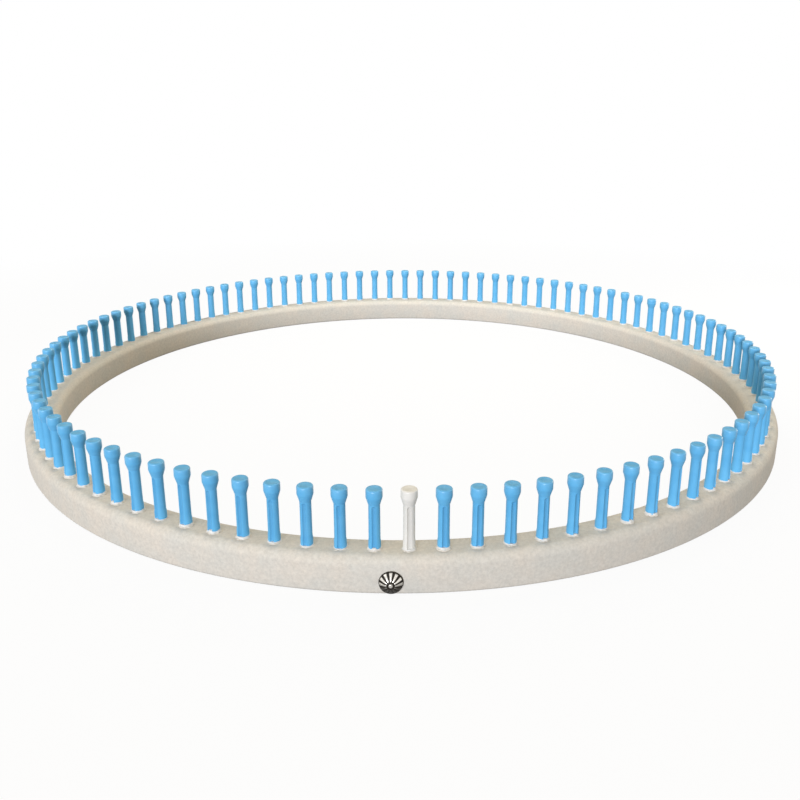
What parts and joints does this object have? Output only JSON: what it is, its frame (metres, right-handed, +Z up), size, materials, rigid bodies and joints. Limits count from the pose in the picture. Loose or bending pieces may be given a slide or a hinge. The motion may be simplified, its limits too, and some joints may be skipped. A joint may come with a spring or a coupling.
{
  "type": "round knitting loom",
  "caption": "Flat round knitting loom: a rounded ring with a closed circle of grooved, headed pegs, one pale marker peg and a fluted nail that anchors the yarn's end.",
  "frame": {"origin": "centre of the ring on its flat bottom face", "axes": "+Z up along the pegs; -Y to the front, where the marker peg stands; +X to the right seen from the front"},
  "size_m": [0.5227, 0.5262, 0.049],
  "materials": {
    "ring": "stone-coloured sheet plastic, satin, faintly mottled",
    "peg": "sky-blue moulded nylon, satin gloss",
    "marker": "off-white moulded nylon, satin gloss",
    "bead": "set white adhesive, soft sheen",
    "cap": "antiqued nickel, bright ribs over dark flutes",
    "nail": "plain drawn steel"
  },
  "bodies": {
    "root": {"base_ring": "ring", "marker_peg": "marker", "peg_bank_01": "peg", "peg_bank_02": "peg", "peg_bank_03": "peg", "peg_bank_04": "peg", "peg_bank_05": "peg", "peg_bank_06": "peg", "peg_bank_07": "peg", "peg_bank_08": "peg", "peg_bank_09": "peg", "peg_bank_10": "peg", "peg_bank_11": "peg", "peg_bank_12": "peg", "peg_bank_13": "peg", "peg_bank_14": "peg", "peg_bank_15": "peg", "peg_bank_16": "peg", "peg_bank_17": "peg", "peg_bank_18": "peg", "peg_bank_19": "peg", "peg_bank_20": "peg", "glue_bead_01": "bead", "glue_bead_02": "bead", "glue_bead_03": "bead", "glue_bead_04": "bead", "glue_bead_05": "bead", "glue_bead_06": "bead", "glue_bead_07": "bead", "glue_bead_08": "bead", "glue_bead_09": "bead", "glue_bead_10": "bead", "glue_bead_11": "bead", "glue_bead_12": "bead", "glue_bead_13": "bead", "glue_bead_14": "bead", "glue_bead_15": "bead", "glue_bead_16": "bead", "glue_bead_17": "bead", "glue_bead_18": "bead", "glue_bead_19": "bead", "glue_bead_20": "bead", "anchor_cap": "cap", "anchor_nail": "nail"}
  },
  "joints": []
}
